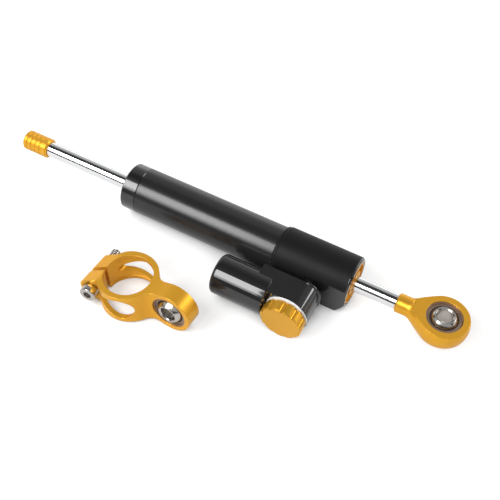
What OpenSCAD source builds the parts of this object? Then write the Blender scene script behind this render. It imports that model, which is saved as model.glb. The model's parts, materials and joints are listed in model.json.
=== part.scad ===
// Steering damper for a motorcycle: a through-rod hydraulic damper with a
// compensating reservoir, a click adjuster, a spherical rod eye and its frame clamp.
// The origin is the middle of the tube, +X runs along the rod to the eye,
// -Y points to the adjuster knob and +Z is up.

/* [Tube] */
// Outer diameter of the tube
tube_d = 25; // [23:0.5:28]
// Wall of the tube
tube_wall = 2; // [1.6:0.1:2.4]
// Visible length of the tube, end cap included
tube_len = 89; // [84:1:110]
// Depth of the tube in the head
tube_socket = 11.5; // [9:0.5:13]
// Depth of the shoulder where the tube enters the head
tube_step = 0.4; // [0.2:0.1:0.5]
// Visible length of the end cap
band_len = 8.6; // [7:0.2:12]
// Length of the end cap's spigot inside the tube
spigot_len = 6; // [5:0.5:8]

/* [Rod and piston] */
// Diameter of the rod
rod_d = 8; // [7:0.5:9]
// Bare rod between the rod stop and the tube at rest
rod_left = 53.6; // [40:0.2:56]
// Bare rod between the gland nut and the rod end at rest
rod_right = 23; // [15:1:26]
// Wall of the rod stop round the rod
stop_wall = 1.4; // [1.2:0.1:2.4]
// Length of the rod stop
stop_len = 15.4; // [13:0.2:24]
// Number of grooves round the rod stop
stop_grooves = 4; // [2:1:5]
// Length of the piston
piston_len = 7; // [6:0.5:9]

/* [Head] */
// Wall of the collar round the tube
collar_wall = 1.1; // [0.9:0.1:2]
// Length of the head along the rod
head_len = 42; // [41:1:50]
// Depth of the flat on the head's front below the collar's round
flat_in = 1.6; // [0.8:0.1:1.6]
// Gap between the tube's round and the arm's plate
plate_gap = 4.8; // [4:0.1:6]
// Height of the web between the collar and the plate above the damper's middle plane
web_top = 3.2; // [1:0.2:5]
// Length of the stepped rim at the collar's left end
rim_len = 1.9; // [1:0.1:3]
// Wall of the head round the gland nut
gland_wall = 2.2; // [2.2:0.1:4]
// Length of the gland nut
gland_len = 8; // [6:0.5:10]

/* [Reservoir] */
// Diameter of the reservoir
res_d = 21.2; // [20:0.1:23]
// Wall of the reservoir
res_wall = 2.1; // [1.8:0.1:3]
// Gap between the tube and the reservoir
res_gap = 4.1; // [4:0.1:7]
// Length of the reservoir to the left of the head's left face
res_left = 21.2; // [17:0.2:30]
// Length of the floating piston
float_len = 6; // [5:0.5:8]

/* [Adjuster] */
// Distance of the adjuster axis from the head's left face
boss_at = 19.6; // [19:0.2:21]
// Height of the adjuster boss
boss_d = 20.1; // [19.5:0.1:21]
// Reach of the boss to the right of the adjuster axis
boss_out = 11; // [10.4:0.1:11]
// Radius of the boss's corners on that side
boss_corner = 7.4; // [6:0.1:9]
// Reach of the boss past the reservoir's axis
boss_over = 4.3; // [3:0.05:6]
// Diameter of the knob over its lobes
knob_d = 22.1; // [21:0.1:25]
// Thickness of the knob
knob_t = 6.3; // [5:0.1:9]
// Number of lobes round the knob
knob_lobes = 11; // [8:1:16]
// Reach of the washer past the boss
washer_lip = 1.1; // [0.2:0.1:1.6]
// Thickness of that washer
washer_t = 1; // [0.6:0.1:1.6]
// Diameter of the adjuster stem
stem_d = 6; // [5:0.5:7]

/* [Spherical bearings] */
// Bore of each ball
ball_bore = 8; // [6:0.5:8.5]
// Diameter of each ball
ball_d = 15; // [14.6:0.2:16]
// Width of each ball
ball_w = 11; // [9.5:0.5:11]
// Thickness of each liner
liner_t = 0.4; // [0.3:0.05:0.6]
// Wall of each race at its middle
race_wall = 1.2; // [1:0.1:2]
// Width of each race
race_w = 6.4; // [5.6:0.2:6.8]
// Lip of each eye outside its snap rings
eye_lip = 0.5; // [0.4:0.1:1.2]

/* [Rod end] */
// Wall of the rod end's shank round the rod
shank_wall = 0.95; // [0.8:0.05:2]
// Neck between the end of the rod and the eye's bearing
eye_neck = 14.55; // [13:0.05:20]
// Wall of the eye round its bearing
eye_wall = 4.05; // [3:0.05:5]
// Length of the straight shank
shank_len = 7; // [5:0.2:9]
// Radius of the fillet between the shank and the eye's cone
eye_fillet = 5; // [3:0.2:8]

/* [Clamp] */
// Wall of the clamp's ring
clamp_wall = 2.8; // [2.2:0.1:4]
// Height of the clamp's ring
clamp_h = 17.6; // [15:0.1:19]
// Strip of the ring above and below its windows
window_strip = 2.1; // [1.6:0.1:3.5]
// Relief of the ring's bore between those strips, which grip the tube
bore_relief = 0.2; // [0.1:0.05:0.4]
// Neck between the ring and the pocket of its bearing
lug_neck = 1.4; // [1.2:0.1:5]
// Wall of the clamp's eye round its bearing
lug_wall = 2.45; // [2.2:0.05:4]
// Width of the slot between the ears
slot_w = 2.4; // [1.5:0.1:3.5]
// Width over both ears
ear_w = 19; // [17:0.2:22]
// Wall of the ears round the screw
ear_wall = 2.65; // [2.4:0.05:4]
// Angle between the ears and the line of the eye
ear_turn = 8; // [0:1:12]
// Diameter of the clamp screw
screw_d = 5; // [4:0.5:6]
// Ring axis of the clamp along the rod, from the middle of the tube
clamp_x = -10.7; // [-30:0.1:0]
// Ring axis of the clamp in front of the rod axis
clamp_y = 55.1; // [53:0.1:70]
// Turn of the clamp about the vertical
clamp_turn = -3; // [-10:1:0]

/* [Clearances] */
// Radial running clearance of what slides or turns
run_gap = 0.05; // [0.02:0.01:0.08]
// Clearance between pieces that are fitted and stay put
fit_gap = 0.05; // [0.02:0.01:0.08]
// Clearance between pieces that move past each other without guiding
free_gap = 0.3; // [0.2:0.05:0.5]

/* [Hidden] */
$fn = 96;
eps = 0.01;

gold = "#D9A341";
black_gloss = "#1C1C1F";
black_satin = "#2B2B2E";
chrome = "#D8DADD";
steel = "#A9ABAE";
bronze = "#9A7A55";
rubber = "#17171A";
nylon = "#F2F2F0";
brass = "#C2A25A";

tube_r = tube_d / 2;
bore_r = tube_r - tube_wall;
socket_r = tube_r - tube_step;
rod_r = rod_d / 2;
collar_r = tube_r + collar_wall;
gland_r = collar_r - gland_wall;
stop_r = rod_r + stop_wall;
shank_r = rod_r + shank_wall;
res_r = res_d / 2;
boss_r = boss_d / 2;
knob_r = knob_d / 2;
stem_r = stem_d / 2;

// Small rings
o_ring_r = 0.45;
o_groove = 2 * o_ring_r;
o_groove_w = o_groove + 0.2;
clip_t = 0.8;
clip_groove = clip_t + 2 * fit_gap;
clip_bite = 0.5;
clip_reach = 1.6;

// Spherical bearings
ball_r = ball_d / 2;
liner_r0 = ball_r + run_gap;
liner_r1 = liner_r0 + liner_t;
seat_sphere_r = liner_r1 + run_gap;
race_r = seat_sphere_r + race_wall;
race_pocket_r = race_r + fit_gap;
snap_t = 0.6;
snap_bite = 0.4;
snap_reach = 0.7;
snap_groove_h = snap_t + 2 * fit_gap;
seat_t = race_w + 2 * (snap_groove_h + eye_lip);

// Stations along the rod
tube_x0 = -tube_len / 2;
head_x0 = tube_len / 2;
head_x1 = head_x0 + head_len;
cap_inner_x = tube_x0 + band_len + spigot_len;
tube_x1 = head_x0 + tube_socket;
head_ring_x = head_x0 + tube_socket / 2;
stop_x1 = tube_x0 - rod_left;
stop_x0 = stop_x1 - stop_len;
shank_x = head_x1 + rod_right;
eye_x = shank_x + eye_neck + race_pocket_r;

// The piston keeps its margin to the end cap when the rod end meets the gland nut
piston_margin = 1;
piston_x = cap_inner_x + piston_margin + rod_right;
piston_land = 1.5;
piston_groove = 1.3;

// Rod seals and bushes
guide_wall = 2.5;
guide_r = rod_r + guide_wall;
guide_pocket_r = guide_r + fit_gap;
seal_len = 3.5;
cap_lip = 1.2;
rod_pass_r = rod_r + free_gap;
wiper_r = rod_r + 1.4;
wiper_len = 2;

// Rod stop and rod end hold the rod's thinner ends
rod_pin_r = rod_r - 1;
pin_depth = 11;

// Head
front_flat = collar_r - flat_in;
corner_z = -collar_r + 1.3;
bevel_r = collar_r - 0.9;
rim_step = 0.4;
plate_back = tube_r + plate_gap;

// Reservoir
res_reach = tube_r + res_gap + res_r;
res_x0 = head_x0 - res_left;
res_bore_r = res_r - res_wall;
res_lip = 0.6;
res_clip_bite = 0.6;
res_round = 2.2;
res_rim = 0.5;
boss_x = head_x0 + boss_at;
res_x1 = boss_x - max(knob_r, boss_r + washer_lip) - free_gap;
res_bore_x1 = res_x1 - res_wall;
plug_x0 = res_x0 + res_lip + clip_groove;
plug_len = 4.5;
bleed_r = 2.5;
float_x = (plug_x0 + plug_len + res_bore_x1 - float_len) / 2;

// Adjuster
boss_reach = res_reach + boss_over;
boss_corner_x = boss_out - boss_corner;
boss_corner_z = boss_r - boss_corner;
bead_r = 1;
bead_sunk = 0.3;
knob_back = boss_reach + washer_t + free_gap;
knob_face = knob_back + knob_t;
knob_skin = 2;
bush_wall = 0.5;
stem_pocket_r = stem_r + run_gap + bush_wall + fit_gap;
stem_floor = plate_back;
stem_inner = stem_floor + 1.5;
needle_r = 1.45;
needle_tip_r = 0.4;
needle_cone = 2;
seat_r = 2;
seat_hole_r = 1;
seat_len = 2;
seat_floor = stem_floor - 4;
needle_tip = seat_floor + seat_len + 0.4;
needle_end = stem_inner + 5;
adjuster_bush_len = 4;
stem_ring_at = boss_reach - adjuster_bush_len - 1.6;
detent_r = 1.2;
detent_at = 7;
detent_depth = 6;
detent_wire = 0.2;
detent_turns = 5;

// The damper rests on its collar and on its knob, so its arm droops a little
base_z = -collar_r;
rest_roll = asin(collar_r / norm([knob_face, knob_r])) - atan2(knob_r, knob_face);

// Rod end: a cone from the shank runs into the turned eye, with a fillet where it starts
eye_r = race_pocket_r + eye_wall;
neck_from = eye_x - shank_x - shank_len;
neck_tangent = atan2(shank_r, neck_from) + acos(eye_r / norm([neck_from, shank_r]));
neck_slope = 90 - neck_tangent;
neck_bend = eye_fillet * tan(neck_slope / 2);

// Clamp
clamp_bore_r = tube_r + fit_gap;
clamp_r = clamp_bore_r + clamp_wall;
clamp_half = clamp_h / 2;
screw_r = screw_d / 2;
screw_head_r = screw_d * 0.85;
screw_head_h = screw_d;
screw_at = clamp_bore_r + 2 + screw_r;
screw_tip = 7.2;
spot_depth = 0.4;
ear_shift = 1;
screw_seat = ear_w / 2 - ear_shift - spot_depth;
ear_r = screw_r + ear_wall;
ear_taper_x = -9;
lug_r = race_pocket_r + lug_wall;
lug_at = clamp_r + lug_neck + race_pocket_r;
lug_fillet = 60;
plan_fillet = 7;
window_r = clamp_half - window_strip;
window_tip_r = 2.2;
window_x1 = clamp_bore_r * 0.85 - window_r;
window_x0 = -clamp_bore_r * 0.92 + window_tip_r;

// Tilt that lets the clamp lie on its eye and on the left of its ring
clamp_tilt = asin((lug_r - clamp_half) / (lug_at - ear_taper_x));
clamp_z = base_z + lug_r - lug_at * sin(clamp_tilt);

// Turns what is drawn in the damper's own frame to the way it lies
module at_rest() {
    rotate([rest_roll, 0, 0]) children();
}

// Places children that are drawn along +Z on the rod axis, starting at x
module on_rod(x = 0) {
    translate([x, 0, 0]) rotate([0, 90, 0]) children();
}

// Places children that are drawn along +Z on the reservoir axis, starting at x
module on_reservoir(x) {
    at_rest() translate([x, -res_reach, 0]) rotate([0, 90, 0]) children();
}

// Places children that are drawn along +Z on the adjuster axis, reach from the rod axis
module on_adjuster(reach) {
    at_rest() translate([boss_x, -reach, 0]) rotate([90, 0, 0]) children();
}

// Places children drawn in the clamp's own frame: ring axis Z, eye along X
module on_clamp() {
    translate([clamp_x, -clamp_y, clamp_z]) rotate([0, -clamp_tilt, clamp_turn])
        children();
}

// Places a bearing drawn on Z in the clamp's eye
module on_clamp_eye() {
    on_clamp() translate([lug_at, 0, 0]) rotate([90, 0, 0]) children();
}

// Places children drawn on the clamp screw's axis, its head on +Z
module on_clamp_screw() {
    on_clamp() rotate([0, 0, ear_turn]) translate([-screw_at, 0, 0]) rotate([90, 0, 0]) children();
}

// Tube between two radii
module pipe(r_out, r_in, h) {
    difference() {
        cylinder(r = r_out, h = h);
        translate([0, 0, -eps]) cylinder(r = r_in, h = h + 2 * eps);
    }
}

// Disc with both rims chamfered
module rimmed(r, h, c) {
    rotate_extrude() polygon([[0, 0], [r - c, 0], [r, c], [r, h - c], [r - c, h], [0, h]]);
}

// Round ring in a groove on a shaft of the given radius
module o_ring_on(shaft_r) {
    rotate_extrude() translate([shaft_r - o_ring_r, 0]) circle(r = o_ring_r, $fn = 24);
}

// Groove for such a ring, centred on z = 0
module o_groove_on(shaft_r) {
    translate([0, 0, -o_groove_w / 2]) pipe(shaft_r + 1, shaft_r - o_groove - eps, o_groove_w);
}

// Open spring clip with its gap on the +X side
module clip(r_out, r_in, h, gap = 40) {
    rotate([0, 0, gap / 2]) rotate_extrude(angle = 360 - gap)
        translate([r_in, 0]) square([r_out - r_in, h]);
}

// Six-sided socket, cut downwards from z = 0
module hex_socket(across, depth) {
    translate([0, 0, -depth]) cylinder(d = across / cos(30), h = depth + eps, $fn = 6);
}

// Outer tube, turned down where it enters the head
module outer_tube() color(black_satin) {
    start = tube_x0 + band_len;
    on_rod(start) difference() {
        union() {
            cylinder(r = tube_r, h = head_x0 - fit_gap - start);
            cylinder(r = socket_r, h = tube_x1 - start);
        }
        translate([0, 0, -eps]) cylinder(r = bore_r, h = tube_x1 - start + 1);
        translate([0, 0, head_ring_x - start]) o_groove_on(socket_r);
    }
}

// End cap of the tube with the pocket of the rod's bush and seal
module tube_end_cap() color(black_gloss) {
    on_rod(tube_x0) difference() {
        union() {
            rimmed(tube_r, band_len, 0.5);
            cylinder(r = bore_r - fit_gap, h = band_len + spigot_len);
        }
        translate([0, 0, -eps]) cylinder(r = rod_pass_r, h = band_len + spigot_len + 1);
        translate([0, 0, cap_lip]) cylinder(r = guide_pocket_r, h = band_len + spigot_len);
        translate([0, 0, band_len + spigot_len / 2]) o_groove_on(bore_r - fit_gap);
    }
}

module end_cap_seal() color(rubber) {
    on_rod(tube_x0 + cap_lip) rod_seal();
}

module end_cap_bush() color(bronze) {
    on_rod(tube_x0 + cap_lip + seal_len)
        pipe(guide_r, rod_r + run_gap, band_len + spigot_len - cap_lip - seal_len);
}

module end_cap_o_ring() color(rubber) {
    on_rod(tube_x0 + band_len + spigot_len / 2) o_ring_on(bore_r - fit_gap);
}

// Rod seal with a hollow back
module rod_seal() {
    difference() {
        pipe(guide_r, rod_r + run_gap, seal_len);
        translate([0, 0, seal_len - 1.4]) pipe(guide_r - 0.8, rod_r + 0.9, 2);
    }
}

// Collar of the head, with a flat front and a square lower corner right of the boss
module head_collar() {
    corner = norm([front_flat, corner_z]) + 1;
    intersection() {
        on_rod(head_x0) rotate_extrude() polygon([[0, 0], [corner, 0],
            [corner, head_len - (corner - bevel_r)], [bevel_r, head_len], [0, head_len]]);
        difference() {
            union() {
                on_rod(head_x0) rotate_extrude() polygon([[0, 0], [collar_r - 2 * rim_step, 0],
                    [collar_r - rim_step, rim_step], [collar_r - rim_step, rim_len - rim_step],
                    [collar_r, rim_len], [collar_r, head_len], [0, head_len]]);
                translate([boss_x, -front_flat, corner_z]) cube([head_x1 - boss_x, front_flat, -corner_z]);
            }
            translate([boss_x, -front_flat - collar_r, -2 * collar_r])
                cube([head_len, collar_r, 4 * collar_r]);
        }
    }
}

// Shell of the reservoir, rounded at its left end, ending short of the knob
module reservoir_shell() {
    len = res_x1 - res_x0;
    on_reservoir(res_x0) rotate_extrude() {
        polygon([[0, 0], [res_r - res_round, 0], [res_r - res_round, res_round], [res_r, res_round],
            [res_r, len - res_rim], [res_r - res_rim, len], [0, len]]);
        translate([res_r - res_round, res_round]) circle(r = res_round);
    }
}

// Block with flat faces above and below, level with the boss, from x0 to x1
module arm_plate(x0, x1, reach) {
    edge = 0.3;
    translate([x0, -reach, 0]) rotate([90, 0, 90]) linear_extrude(x1 - x0) polygon([
        [0, -boss_r], [reach - plate_back - edge, -boss_r], [reach - plate_back, edge - boss_r],
        [reach - plate_back, boss_r - edge], [reach - plate_back - edge, boss_r], [0, boss_r]]);
}

// Boss seen from the knob, its corners rounded on the right
module boss_outline() {
    for (side = [-1, 1])
        translate([boss_corner_x, side * boss_corner_z]) circle(r = boss_corner);
    translate([-boss_d, -boss_r]) square([boss_d + boss_corner_x, boss_d]);
    translate([0, -boss_corner_z]) square([boss_out, 2 * boss_corner_z]);
}

// Bead round the right side of the boss, half sunk and running out at its top and bottom
module boss_bead() {
    path_z = boss_corner_z - bead_sunk;
    for (side = [0, 1])
        mirror([0, side, 0]) translate([boss_corner_x, path_z, 0])
            rotate_extrude(angle = 90) translate([boss_corner - bead_sunk, 0])
                circle(r = bead_r, $fn = 32);
    translate([boss_out - bead_sunk, 0, 0]) rotate([90, 0, 0])
        cylinder(r = bead_r, h = 2 * path_z, center = true, $fn = 32);
}

// Web and plate from the collar to the reservoir, and the boss of the adjuster
module head_arm() {
    web_low = -7;
    at_rest() {
        arm_plate(head_x0, boss_x, res_reach);
        intersection() {
            arm_plate(res_x1 - res_rim / 2, boss_x + boss_out + 1, boss_reach);
            translate([boss_x, 0, 0]) rotate([90, 0, 0]) linear_extrude(2 * boss_reach) boss_outline();
        }
        translate([head_x0, -res_reach, web_low])
            cube([boss_x + boss_corner_x - head_x0, res_reach, web_top - web_low]);
    }
    on_adjuster(plate_back + bead_sunk) boss_bead();
}

// Head: collar, web, reservoir shell and adjuster boss in one casting
module head_block() color(black_gloss) {
    difference() {
        union() {
            at_rest() head_collar();
            head_arm();
            reservoir_shell();
        }
        on_rod(head_x0 - 1) cylinder(r = socket_r + fit_gap, h = tube_socket + 1);
        on_rod(head_x0) cylinder(r = guide_pocket_r, h = head_len);
        on_rod(head_x1 - gland_len) cylinder(r = gland_r + fit_gap, h = gland_len + 1);
        on_reservoir(res_x0 - 1) cylinder(r = res_bore_r, h = res_bore_x1 - res_x0 + 1);
        on_reservoir(res_x0 + res_lip) cylinder(r = res_bore_r + res_clip_bite, h = clip_groove);
        on_adjuster(stem_floor) cylinder(r = stem_pocket_r, h = boss_reach);
        on_adjuster(seat_floor) cylinder(r = seat_r + fit_gap, h = boss_reach);
        on_adjuster(boss_reach - detent_depth) translate([-detent_at, 0, 0])
            cylinder(r = detent_r + 0.1, h = detent_depth + 1);
    }
}

module head_o_ring() color(rubber) {
    on_rod(head_ring_x) o_ring_on(socket_r);
}

module head_bush() color(bronze) {
    on_rod(tube_x1 + fit_gap)
        pipe(guide_r, rod_r + run_gap, head_x1 - gland_len - seal_len - tube_x1 - 2 * fit_gap);
}

module head_seal() color(rubber) {
    on_rod(head_x1 - gland_len - fit_gap) mirror([0, 0, 1]) rod_seal();
}

// Gland nut with pin holes, a sunk face and a hub round the rod
module gland_nut() color(gold) {
    hub_r = rod_r + 2.6;
    sink = 1;
    rim = 1.3;
    holes = 4;
    pin_r = 1.45;
    pin_at = (hub_r + gland_r - rim) / 2;
    on_rod(head_x1 - gland_len) difference() {
        rimmed(gland_r, gland_len, 0.4);
        translate([0, 0, -eps]) cylinder(r = rod_pass_r, h = gland_len + 1);
        translate([0, 0, gland_len - sink]) pipe(gland_r - rim, hub_r, sink + 1);
        translate([0, 0, -eps]) cylinder(r = wiper_r + fit_gap, h = wiper_len + fit_gap + eps);
        for (i = [0 : holes - 1])
            rotate([0, 0, i * 360 / holes]) translate([pin_at, 0, gland_len - 4])
                cylinder(r = pin_r, h = 5, $fn = 32);
    }
}

module wiper_seal() color(rubber) {
    on_rod(head_x1 - gland_len) pipe(wiper_r, rod_r + run_gap, wiper_len);
}

// Plug of the reservoir with the bleed screw's hole
module reservoir_plug() color(black_gloss) {
    on_reservoir(plug_x0) difference() {
        cylinder(r = res_bore_r - fit_gap, h = plug_len);
        translate([0, 0, -eps]) cylinder(r = bleed_r + fit_gap, h = plug_len + 1);
        translate([0, 0, plug_len / 2]) o_groove_on(res_bore_r - fit_gap);
    }
}

module plug_o_ring() color(rubber) {
    on_reservoir(plug_x0 + plug_len / 2) o_ring_on(res_bore_r - fit_gap);
}

module plug_circlip() color(steel) {
    on_reservoir(res_x0 + res_lip + fit_gap)
        clip(res_bore_r + clip_bite, res_bore_r - clip_reach, clip_t);
}

module bleed_screw() color(steel) {
    on_reservoir(plug_x0) difference() {
        cylinder(r = bleed_r, h = plug_len);
        mirror([0, 0, 1]) hex_socket(bleed_r, bleed_r);
    }
}

// Floating piston that parts the oil from the air
module floating_piston() color(steel) {
    on_reservoir(float_x) difference() {
        cylinder(r = res_bore_r - run_gap, h = float_len);
        translate([0, 0, float_len / 2]) o_groove_on(res_bore_r - run_gap);
        translate([0, 0, -1]) cylinder(r = res_bore_r - 2.6, h = float_len / 2);
    }
}

module floating_piston_o_ring() color(rubber) {
    on_reservoir(float_x + float_len / 2) o_ring_on(res_bore_r - run_gap);
}

module knob_washer() color(nylon) {
    on_adjuster(boss_reach) pipe(boss_r + washer_lip, detent_at + detent_r + 0.8, washer_t);
}

module adjuster_bush() color(brass) {
    on_adjuster(boss_reach - adjuster_bush_len)
        pipe(stem_pocket_r - fit_gap, stem_r + run_gap, adjuster_bush_len);
}

module valve_seat() color(brass) {
    on_adjuster(seat_floor) pipe(seat_r, seat_hole_r, seat_len);
}

module detent_ball() color(steel) {
    on_adjuster(knob_back - run_gap - detent_r) translate([-detent_at, 0, 0])
        sphere(r = detent_r, $fn = 48);
}

// Points of one ring of a coil's wire at the given turn
function coil_ring(r, wire, rise, turn, sides) = [for (k = [0 : sides - 1])
    let (c = 360 * k / sides, w = r + wire * cos(c))
        [w * cos(360 * turn), w * sin(360 * turn), rise * turn + wire * sin(c)]];

// Coil spring as one unbroken tube
module coil(r, wire, rise, turns, sides = 6, steps = 10) {
    rings = turns * steps;
    points = [for (i = [0 : rings]) each coil_ring(r, wire, rise, i / steps, sides)];
    walls = [for (i = [0 : rings - 1], k = [0 : sides - 1]) each
        let (a = i * sides + k, b = i * sides + (k + 1) % sides)
            [[a, a + sides, b], [b, a + sides, b + sides]]];
    caps = [[for (k = [0 : sides - 1]) k],
        [for (k = [sides - 1 : -1 : 0]) rings * sides + k]];
    polyhedron(points, concat(walls, caps));
}

module detent_spring() color(steel) {
    floor_z = boss_reach - detent_depth + detent_wire + eps;
    top_z = knob_back - run_gap - 2 * detent_r - detent_wire - eps;
    on_adjuster(floor_z) translate([-detent_at, 0, 0])
        coil(detent_r - 0.25, detent_wire, (top_z - floor_z) / detent_turns, detent_turns);
}

// Outline of the knob: broad lobes between narrow rounded notches
module knob_outline() {
    notch_r = 1.5;
    difference() {
        circle(r = knob_r);
        for (i = [0 : knob_lobes - 1])
            rotate(90 + i * 360 / knob_lobes) translate([knob_r + notch_r * 0.3, 0])
                circle(r = notch_r, $fn = 32);
    }
}

module knob() color(gold) {
    rim = 0.5;
    on_adjuster(knob_back) difference() {
        intersection() {
            linear_extrude(knob_t) knob_outline();
            rimmed(knob_r, knob_t, rim);
        }
        translate([0, 0, -eps]) cylinder(r = stem_r + fit_gap, h = knob_t - knob_skin);
    }
}

// Stem under the knob with a blind hole for the needle
module knob_stem() color(steel) {
    on_adjuster(stem_inner) difference() {
        cylinder(r = stem_r, h = knob_face - knob_skin - fit_gap - stem_inner);
        translate([0, 0, -eps]) cylinder(r = needle_r + run_gap, h = needle_end + 1 - stem_inner);
        translate([0, 0, stem_ring_at - stem_inner]) o_groove_on(stem_r);
    }
}

module stem_o_ring() color(rubber) {
    on_adjuster(stem_ring_at) o_ring_on(stem_r);
}

module metering_needle() color(steel) {
    on_adjuster(needle_tip) rotate_extrude() polygon([[0, 0], [needle_tip_r, 0],
        [needle_r, needle_cone], [needle_r, needle_end - needle_tip], [0, needle_end - needle_tip]]);
}

// Rod with thinner ends and a groove on each side of the piston
module rod() color(chrome) {
    difference() {
        union() {
            on_rod(stop_x1) rimmed(rod_r, shank_x - stop_x1, 0.3);
            on_rod(stop_x1 - pin_depth) cylinder(r = rod_pin_r, h = shank_x - stop_x1 + 2 * pin_depth);
        }
        for (x = [piston_x - clip_groove, piston_x + piston_len])
            on_rod(x) pipe(rod_r + 1, rod_r - clip_bite - fit_gap, clip_groove);
    }
}

// Piston with the groove of its ring and a row of bleed holes
module piston() color(steel) {
    bleeds = 6;
    on_rod(piston_x) difference() {
        rimmed(bore_r - free_gap, piston_len, 0.3);
        translate([0, 0, -eps]) cylinder(r = rod_r + fit_gap, h = piston_len + 1);
        translate([0, 0, piston_land])
            pipe(bore_r, bore_r - piston_groove, piston_len - 2 * piston_land);
        for (i = [0 : bleeds - 1])
            rotate([0, 0, i * 360 / bleeds]) translate([(rod_r + bore_r) / 2 - 0.3, 0, -eps])
                cylinder(r = 0.7, h = piston_len + 1, $fn = 24);
    }
}

module piston_ring() color(nylon) {
    on_rod(piston_x + piston_land + run_gap) pipe(bore_r - run_gap,
        bore_r - piston_groove + run_gap, piston_len - 2 * (piston_land + run_gap));
}

module piston_circlips() color(steel) {
    for (x = [piston_x - clip_t - fit_gap, piston_x + piston_len + fit_gap])
        on_rod(x) clip(rod_r + clip_reach, rod_r - clip_bite, clip_t);
}

// Rod stop: a turned cap with rounded grooves and rounded rims
module rod_stop() color(gold) {
    groove_r = 0.55;
    pitch = stop_len / (stop_grooves + 1.5);
    on_rod(stop_x0) difference() {
        rimmed(stop_r, stop_len, 0.8);
        translate([0, 0, stop_len - pin_depth - fit_gap]) cylinder(r = rod_pin_r + fit_gap, h = stop_len);
        for (i = [1 : stop_grooves])
            translate([0, 0, i * pitch]) rotate_extrude()
                translate([stop_r + 0.15, 0]) circle(r = groove_r, $fn = 32);
    }
}

// Cone between the shank and the turned eye, as a profile of radius over length
module neck_profile() {
    bend_x = -neck_from - neck_bend;
    cone_end = eye_r * [sin(neck_tangent), -cos(neck_tangent)];
    difference() {
        polygon([[0, bend_x], [shank_r, bend_x],
            [shank_r + neck_bend * sin(neck_slope), neck_bend * cos(neck_slope) - neck_from],
            cone_end, [0, cone_end.y]]);
        translate([shank_r + eye_fillet, bend_x]) circle(r = eye_fillet);
    }
}

// Rod end: a turned eye on a shank, flattened on both sides
module rod_end() color(gold) {
    flat_x = 0.6 - neck_from;
    flat_len = eye_r - flat_x + 1;
    difference() {
        union() {
            on_rod(shank_x) rimmed(shank_r, eye_x - shank_x - eye_r / 2, 0.5);
            on_rod(eye_x) rotate_extrude() neck_profile();
            translate([eye_x, 0, 0]) sphere(r = eye_r);
        }
        for (side = [-1, 1])
            translate([eye_x + flat_x, -eye_r, side > 0 ? seat_t / 2 : -seat_t / 2 - eye_r])
                cube([flat_len, 2 * eye_r, eye_r]);
        on_rod(shank_x - eps) cylinder(r = rod_pin_r + fit_gap, h = pin_depth + fit_gap);
        translate([eye_x, 0, 0]) bearing_pocket();
    }
}

// Pocket through an eye with the grooves of both snap rings
module bearing_pocket() {
    translate([0, 0, -seat_t]) cylinder(r = race_pocket_r, h = 2 * seat_t);
    for (side = [0, 1])
        mirror([0, 0, side]) translate([0, 0, race_w / 2])
            cylinder(r = race_r + snap_bite + fit_gap, h = snap_groove_h);
}

module bearing_race() {
    difference() {
        translate([0, 0, -race_w / 2]) rimmed(race_r, race_w, 0.3);
        sphere(r = seat_sphere_r);
    }
}

module bearing_snap_rings() {
    for (side = [0, 1])
        mirror([0, 0, side]) translate([0, 0, race_w / 2 + fit_gap])
            clip(race_r + snap_bite, race_r - snap_reach, snap_t, 30);
}

module bearing_liner() {
    liner_w = race_w - 0.4;
    difference() {
        intersection() {
            sphere(r = liner_r1);
            cube([4 * race_r, 4 * race_r, liner_w], center = true);
        }
        sphere(r = liner_r0);
    }
}

module bearing_ball() {
    bore_c = 0.5;
    difference() {
        intersection() {
            sphere(r = ball_r);
            cube([2 * ball_d, 2 * ball_d, ball_w], center = true);
        }
        cylinder(d = ball_bore, h = ball_w + 2, center = true);
        for (side = [0, 1])
            mirror([0, 0, side]) translate([0, 0, ball_w / 2 - bore_c])
                cylinder(r1 = ball_bore / 2, r2 = ball_bore / 2 + 2 * bore_c, h = 2 * bore_c);
    }
}

module eye_race() color(bronze) {
    translate([eye_x, 0, 0]) bearing_race();
}

module eye_snap_rings() color(steel) {
    translate([eye_x, 0, 0]) bearing_snap_rings();
}

module eye_liner() color(nylon) {
    translate([eye_x, 0, 0]) bearing_liner();
}

module eye_ball() color(steel) {
    translate([eye_x, 0, 0]) bearing_ball();
}

// Area between a straight edge at height h and a circle of radius r at x, rounded by f
module corner_fillet(x, r, h, f) {
    back = sqrt(pow(r + f, 2) - pow(h + f, 2));
    k = r / (r + f);
    difference() {
        translate([x - back, 0]) square([back * (1 - k), (h + f) * k]);
        translate([x - back, h + f]) circle(r = f);
    }
}

// Two discs on the X axis and the area between their tangents
module tapered(x_small, r_small, x_large, r_large) {
    slope = asin((r_large - r_small) / (x_large - x_small));
    up = cos(slope);
    translate([x_large, 0]) circle(r = r_large);
    translate([x_small, 0]) circle(r = r_small);
    polygon([
        [x_large - r_large * sin(slope), r_large * up], [x_small - r_small * sin(slope), r_small * up],
        [x_small - r_small * sin(slope), -r_small * up], [x_large - r_large * sin(slope), -r_large * up]]);
}

// Clamp seen from above: ring, bar to the eye and ears
module clamp_plan() {
    ear_end = screw_at + ear_r + 1;
    circle(r = clamp_r);
    translate([0, -seat_t / 2]) square([lug_at + lug_r + 1, seat_t]);
    rotate(ear_turn) translate([-ear_end, ear_shift - ear_w / 2]) square([ear_end, ear_w]);
    for (side = [0, 1])
        mirror([0, side]) mirror([1, 0]) corner_fillet(0, clamp_r, seat_t / 2, plan_fillet);
}

// Clamp seen from the side: ring, eye and the ears that taper to the screw
module clamp_side() {
    tapered(-screw_at, ear_r, ear_taper_x, clamp_half);
    translate([ear_taper_x, -clamp_half]) square([lug_at - ear_taper_x, clamp_h]);
    translate([lug_at, 0]) circle(r = lug_r);
    for (side = [0, 1])
        mirror([0, side]) corner_fillet(lug_at, lug_r, clamp_half, lug_fillet);
}

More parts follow.
